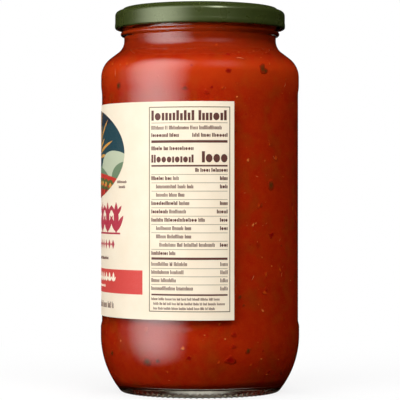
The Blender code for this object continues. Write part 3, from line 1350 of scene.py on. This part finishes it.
@dataclass
class LabelPrint:
    """All that is printed on the label.

    A line is (its start, the height that it stands on, a capital's height, its words' lengths,
    whether it is bold, its seed).
    """

    table: FactsTable = field(default_factory=FactsTable)
    picture: Medallion = field(default_factory=Medallion)
    band: tuple[float, float, float, float] = (-43.7, 43.7, 47.0, 57.9)
    garland_pitch: float = 8.7
    diamond_pitch: float = 3.9
    diamond_height: float = 69.3
    band_leaf_pitch: float = 3.95
    wing: Point = (-84.0, -50.0)
    wing_rules: tuple[Point, ...] = ((123.3, 123.6), (64.9, 65.2))
    wing_blocks: tuple[tuple[float, int], ...] = ((119.6, 12), (61.4, 7))
    wing_pitch: float = 2.7
    wing_line: float = 33.0
    tomato: Point = (-67.0, 76.0)
    lines: tuple[tuple[float, float, float, tuple[float, ...], bool, str], ...] = (
        (27.0, 97.2, 1.3, (7.0,), False, "beside the picture"),
        (28.4, 94.9, 1.3, (4.6,), False, "beside the picture below"),
        (-18.4, 62.3, 1.4, (7.0, 5.0, 4.0, 8.5, 10.0), False, "under the diamonds"),
        (-24.0, 40.1, 2.9, (6.0, 8.6, 4.6, 4.0, 4.8, 6.4, 3.2, 1.6), False, "under the band"),
        (-84.0, 125.4, 3.0, (9.0, 14.0), True, "left heading"),
    )

    def print_garland(self, sheet: Sheet) -> None:
        """Prints a garland of leaves and berries under the picture, over a row of diamonds and dots.

        Args:
            sheet: The sheet to print on.
        """
        for i in range(-3, 4):
            along = self.garland_pitch * i
            sheet.shape((along, 81.4), (7.3, 2.1), 28, 90, True)
            for side in (-1, 1):
                sheet.shape((along + 2.7 * side, 78.6), (4.9, 1.35), 24, 90 - 38 * side, True)
                sheet.shape((along + 2.3 * side, 84.6), (3.2, 0.95), 20, 90 - 42 * side, True)
            if i < 3:
                sheet.shape((along + self.garland_pitch / 2, 85.9), (1.15, 1.15), 20)
        sheet.bar(-29.4, 29.4, 73.9, 74.7)
        for i in range(-6, 7):
            along = self.diamond_pitch * i
            sheet.shape((along, self.diamond_height), (1.25, 2.2), 4)
            if i < 6:
                sheet.shape((along + self.diamond_pitch / 2, self.diamond_height), (0.5, 0.5), 12)

    def print_band(self, sheet: Sheet) -> None:
        """Prints the cream ornament on the red band: leaves over a row of short strokes.

        Args:
            sheet: The sheet to print on.
        """
        for i in range(-6, 7):
            along = self.band_leaf_pitch * i
            sheet.shape((along, 54.4), (2.15, 0.95), 16, 90, True)
            sheet.shape((along + 1.3, 53.5), (1.35, 0.5), 16, 55, True)
            sheet.shape((along - 1.3, 53.5), (1.35, 0.5), 16, 125, True)
        sheet.words(-16.0, 49.6, 1.3, (7.5, 3.5, 9.0, 9.0), False, "under the band's leaves")

    def print_left_wing(self, sheets: dict[str, Sheet]) -> None:
        """Prints the left wing under its heading: two blocks of strokes and a sprig with a tomato.

        Args:
            sheets: The sheets to print on, by name.
        """
        for block, (top, lines) in enumerate(self.wing_blocks):
            for line in range(lines):
                base = top - self.wing_pitch * line
                sheets["type"].note(self.wing[0], base, self.wing_line, f"left block {block} line {line}")
        for low, high in self.wing_rules:
            sheets["rules"].bar(*self.wing, low, high)
        sheets["band"].shape(self.tomato, (5.2, 4.7), 40)
        for tilt in (20, 90, 160):
            turn = math.radians(tilt)
            middle = (self.tomato[0] + 2.6 * math.cos(turn), self.tomato[1] + 5.0 + 1.7 * math.sin(turn))
            sheets["sprig"].shape(middle, (3.0, 0.9), 20, tilt, True)

    def build(self) -> list[Piece]:
        """Prints the label.

        Returns:
            One piece for each sheet.
        """
        sheets = {
            "type": Sheet("brown_type", Ink.BROWN),
            "frame": Sheet("table_frame", Ink.OLIVE),
            "rules": Sheet("table_rules", Ink.RULE),
            "band": Sheet("red_band", Ink.TOMATO),
            "cream": Sheet("band_ornament", Ink.CREAM, 1),
            "crimson": Sheet("garland", Ink.CRIMSON),
            "sprig": Sheet("sprig", Ink.LEAF, 1),
        }
        self.table.print_on(sheets)
        self.print_garland(sheets["crimson"])
        sheets["band"].bar(*self.band)
        self.print_band(sheets["cream"])
        for line in self.lines:
            sheets["type"].words(*line)
        self.print_left_wing(sheets)
        return [sheet.finish() for sheet in (*sheets.values(), *self.picture.sheets())]


# The lid


@dataclass
class Lid:
    """The pressed steel lid: a sunk button in a sunk panel inside a raised ring, a skirt and a curl."""

    jar: GlassJar
    name: str = "green_lid"
    turns: int = 240
    radius: float = 39.9
    sheet: float = 0.7
    top: float = 179.3
    panel_drop: float = 0.8
    panel_radius: float = 32.2
    button_drop: float = 0.45
    button_radius: float = 13.0
    ring_radius: float = 36.3
    ring_round: float = 1.9
    ring_slope: float = 44.0
    shelf: float = 177.95
    corner: float = 2.3
    corner_height: float = 175.6
    skirt_inset: float = 0.12
    curl: float = 1.0
    bottom: float = 169.3
    inner_drop: float = 0.4

    def outline(self) -> list[Point]:
        """Gives the section.

        Returns:
            The points, from the middle of the top, round the curl, to the middle of the inside.
        """
        panel = self.top - self.panel_drop
        dip = panel - self.button_drop
        skirt = self.radius - self.skirt_inset
        points = [(0.0, dip), (self.button_radius - 2.4, dip)]
        points += arc((self.button_radius - 2.4, dip + 1.6), 1.6, -90, -58, 4)[1:]
        points += arc((self.button_radius + 0.4, panel - 1.2), 1.2, 130, 90, 4)
        points += [(self.panel_radius - 6.0, panel)]
        points += arc((self.panel_radius - 0.5, panel + 0.7), 0.7, -90, -25, 4)
        points += arc((self.panel_radius + 1.2, self.top - 0.8), 0.8, 160, 90, 5)
        crest = (self.ring_radius - 1.4, self.top - self.ring_round)
        points += arc(crest, self.ring_round, 90, self.ring_slope, 10)
        points += arc((self.ring_radius + 1.25, self.shelf + 0.55), 0.7, 180 + self.ring_slope, 264, 5)
        points += arc((skirt - self.corner, self.corner_height), self.corner, 80, 0, 12)
        points += run((skirt, self.bottom + 3.2), (self.radius, self.bottom + 1.9), 4, soft=True)
        points += arc((self.radius - self.curl, self.bottom + self.curl), self.curl, 0, -225, 14)
        inner = self.radius - self.sheet - self.skirt_inset
        ceiling = self.jar.rim + 0.3
        points += [(inner, self.bottom + 2.4 * self.curl), (inner, self.corner_height)]
        points += [(inner - 1.0, self.corner_height + 0.9), (self.jar.finish_radius + 0.8, ceiling - 0.3)]
        points += [(self.jar.finish_radius - self.jar.rim_round, ceiling), (0.0, ceiling - self.inner_drop)]
        return points

    def build(self) -> list[Piece]:
        """Makes the lid, and gives its one piece."""
        mesh = turned(self.outline(), self.turns)
        return [dressed(self.name, GreenEnamel().material(), mesh, "lid")]


# The studio


class Use(Enum):
    """What a soft box is for: gloss is seen in reflections, light only lights what it shines on."""

    GLOSS = "gloss"
    LIGHT = "light"


@dataclass(frozen=True)
class Card:
    """A soft box, which is brightest in its middle and fades to nothing at its edges.

    azimuth and elevation say where it hangs, seen from the jar, to the right of the camera's direction
    and above the horizon. half is its half width and half height in metres, glow is how bright its
    middle is, and core is the share of each half size that is as bright as the middle.
    """

    name: str
    use: Use
    azimuth: float
    elevation: float
    half: Point
    glow: float
    core: Point = (0.0, 0.0)
    only_lid: bool = False


@dataclass
class Studio:
    """The camera of the photograph, its soft boxes and a plain pale floor."""

    camera_azimuth: float = 88.0
    camera_distance: float = 892.0
    camera_height: float = 90.9
    focal_pixels: float = 1900.0
    horizon_row: float = 197.0
    sensor: float = 36.0
    aim_height: float = 90.0
    card_distance: float = 1.0
    floor_half: float = 6.0
    floor_edge: Point = (0.05, 0.30)
    room_light: float = 0.20
    floor_light: Point = (0.08, 0.04)
    backdrop_edge: Point = (31.0, 9.0)
    backdrop_glow: float = 0.98
    cards: tuple[Card, ...] = (
        Card("key_shine", Use.GLOSS, -52.0, 16.0, (0.96, 1.35), 5.2, (0.0, 0.3)),
        Card("key_tail", Use.GLOSS, -90.0, 12.0, (0.40, 0.90), 0.35),
        Card("key_light", Use.LIGHT, -45.0, 20.0, (0.80, 0.80), 6.1),
        Card("fill_light", Use.LIGHT, 28.0, 46.0, (0.80, 0.80), 4.4),
        Card("fill_shine", Use.GLOSS, 27.0, 43.0, (0.55, 0.42), 0.75),
        Card("lid_glint", Use.GLOSS, 27.0, 46.0, (0.15, 0.33), 36.0, only_lid=True),
        Card("back_right_light", Use.LIGHT, 150.0, 25.0, (0.60, 0.70), 2.8),
        Card("back_left_light", Use.LIGHT, 210.0, 25.0, (0.60, 0.70), 3.4),
    )

    def direction(self, azimuth: float, elevation: float) -> Vector:
        """Gives the way from the jar's axis, at an azimuth right of the camera's and an elevation."""
        turn, rise = math.radians(self.camera_azimuth + azimuth), math.radians(elevation)
        return Vector((math.sin(turn) * math.cos(rise), -math.cos(turn) * math.cos(rise), math.sin(rise)))

    def panel(self, name: str, half: float, material: Material) -> Piece:
        """Makes a flat square of the studio.

        Args:
            name: Its name.
            half: Its half side in metres.
            material: What it is made of.

        Returns:
            The square, level and at the origin.
        """
        mesh = bmesh.new()
        bmesh.ops.create_grid(mesh, x_segments=1, y_segments=1, size=half)
        return placed(name, mesh, material)

    def build_camera(self) -> None:
        """Sets up the camera of the photograph, level, with its horizon at its row."""
        lens = bpy.data.cameras.new("photo_camera")
        lens.sensor_width = self.sensor
        lens.lens = self.sensor * self.focal_pixels / PICTURE_SIDE
        lens.shift_y = (self.horizon_row - PICTURE_SIDE / 2) / PICTURE_SIDE
        camera = bpy.data.objects.new("photo_camera", lens)
        bpy.context.scene.collection.objects.link(camera)
        place = self.direction(0.0, 0.0) * self.camera_distance * MM
        camera.location = (place.x, place.y, self.camera_height * MM)
        camera.rotation_euler = (math.radians(90), 0.0, math.radians(self.camera_azimuth))
        bpy.context.scene.camera = camera

    def hang_card(self, card: Card, lid_only: bpy.types.Collection) -> None:
        """Hangs a soft box that faces the jar and that the camera doesn't see.

        Args:
            card: The soft box.
            lid_only: What it shines on, where it shines on the lid alone.
        """
        bench = Bench(card.name)
        spot = bench.node("SeparateXYZ", {"Vector": bench.place()})
        fades = []
        for axis, core in zip(("X", "Y"), card.core):
            away = bench.maths("ABSOLUTE", spot[axis], clamp=False)
            fades.append(bench.range(away, core, 1.0, 1.0, 0.0, soft=True))
        glow = bench.maths("MULTIPLY", bench.maths("MULTIPLY", *fades), card.glow, clamp=False)
        light = bench.node("Emission", {"Strength": glow})["Emission"]
        clear = bench.node("BsdfTransparent")["BSDF"]
        material = bench.show(bench.node("AddShader", {0: light, 1: clear})["Shader"])
        hung = self.panel(card.name, 1.0, material)
        way = self.direction(card.azimuth, card.elevation)
        hung.location = Vector((0.0, 0.0, self.aim_height * MM)) + way * self.card_distance
        hung.rotation_euler = way.to_track_quat("-Z", "Y").to_euler()
        hung.scale = (*card.half, 1.0)
        hung.visible_camera = False
        hung.visible_transmission = False
        hung.visible_glossy = card.use is Use.GLOSS
        hung.visible_diffuse = card.use is Use.LIGHT
        if card.only_lid:
            hung.light_linking.receiver_collection = lid_only

    def build_floor(self) -> None:
        """Lays a plain pale floor that turns into the white of the background."""
        bench = Bench("pale floor")
        away = bench.node("VectorMath", {0: bench.place()}, operation="LENGTH")["Value"]
        pale = bench.blend(bench.noise(3.0), (0.80, 0.80, 0.80), (0.82, 0.82, 0.82))
        matt = bench.node("BsdfDiffuse", {"Color": pale})["BSDF"]
        white = bench.node("Emission", {"Color": WHITE, "Strength": 1.0})["Emission"]
        material = bench.show(bench.mix(bench.range(away, *self.floor_edge, 0.75, 1.0), matt, white))
        material.cycles.emission_sampling = "NONE"
        floor = self.panel("pale_floor", self.floor_half, material)
        floor.visible_diffuse = False
        floor.visible_glossy = False
        floor.visible_transmission = False

    def build_room(self) -> None:
        """Makes the background white for the camera, and a dim room for the light on the jar."""
        bench = Bench("studio", bpy.data.worlds)
        bpy.context.scene.world = bench.made
        way = bench.node("TexCoord")["Generated"]
        height = bench.node("SeparateXYZ", {"Vector": way})["Z"]
        above = bench.range(height, 0.0, 1.0, 0.0, self.room_light)
        below = bench.range(height, -1.0, 0.0, *self.floor_light)
        ahead = {0: way, 1: tuple(self.direction(180.0, 0.0))}
        behind = bench.node("VectorMath", ahead, operation="DOT_PRODUCT")["Value"]
        outer, inner = (math.cos(math.radians(edge)) for edge in self.backdrop_edge)
        backdrop = bench.range(behind, outer, inner, 0.0, self.backdrop_glow, soft=True)
        path = bench.node("LightPath")
        shown = bench.pick(path["Is Glossy Ray"], bench.maths("ADD", above, below), 0.0)
        shown = bench.pick(path["Is Transmission Ray"], shown, backdrop)
        shown = bench.pick(path["Is Camera Ray"], shown, 1.0)
        back = bench.node("Background", {"Color": WHITE, "Strength": shown})["Background"]
        bench.node("OutputWorld", {"Surface": back})

    def build(self, lid: Piece) -> None:
        """Sets up the whole studio.

        Args:
            lid: The lid, which one soft box shines on alone.
        """
        lid_only = bpy.data.collections.new("lid_only")
        lid_only.objects.link(lid)
        self.build_camera()
        for card in self.cards:
            self.hang_card(card, lid_only)
            log.info("%s is hung", card.name)
        self.build_floor()
        self.build_room()
        bpy.context.scene.view_settings.view_transform = "Standard"


def main() -> None:
    """Builds the jar piece by piece, and the studio round it."""
    logging.basicConfig(level=logging.INFO, format="%(name)s: %(message)s")
    jar = GlassJar()
    sauce = Sauce(jar)
    lid = Lid(jar)
    for assembly in (jar, sauce, SauceBits(sauce), LabelPaper(), LabelPrint(), lid):
        for piece in assembly.build():
            log.info("%s: %d faces", piece.name, len(piece.data.polygons))
    Studio().build(bpy.data.objects[lid.name])
    log.info("the jar is dressed")


if __name__ == "__main__":
    main()
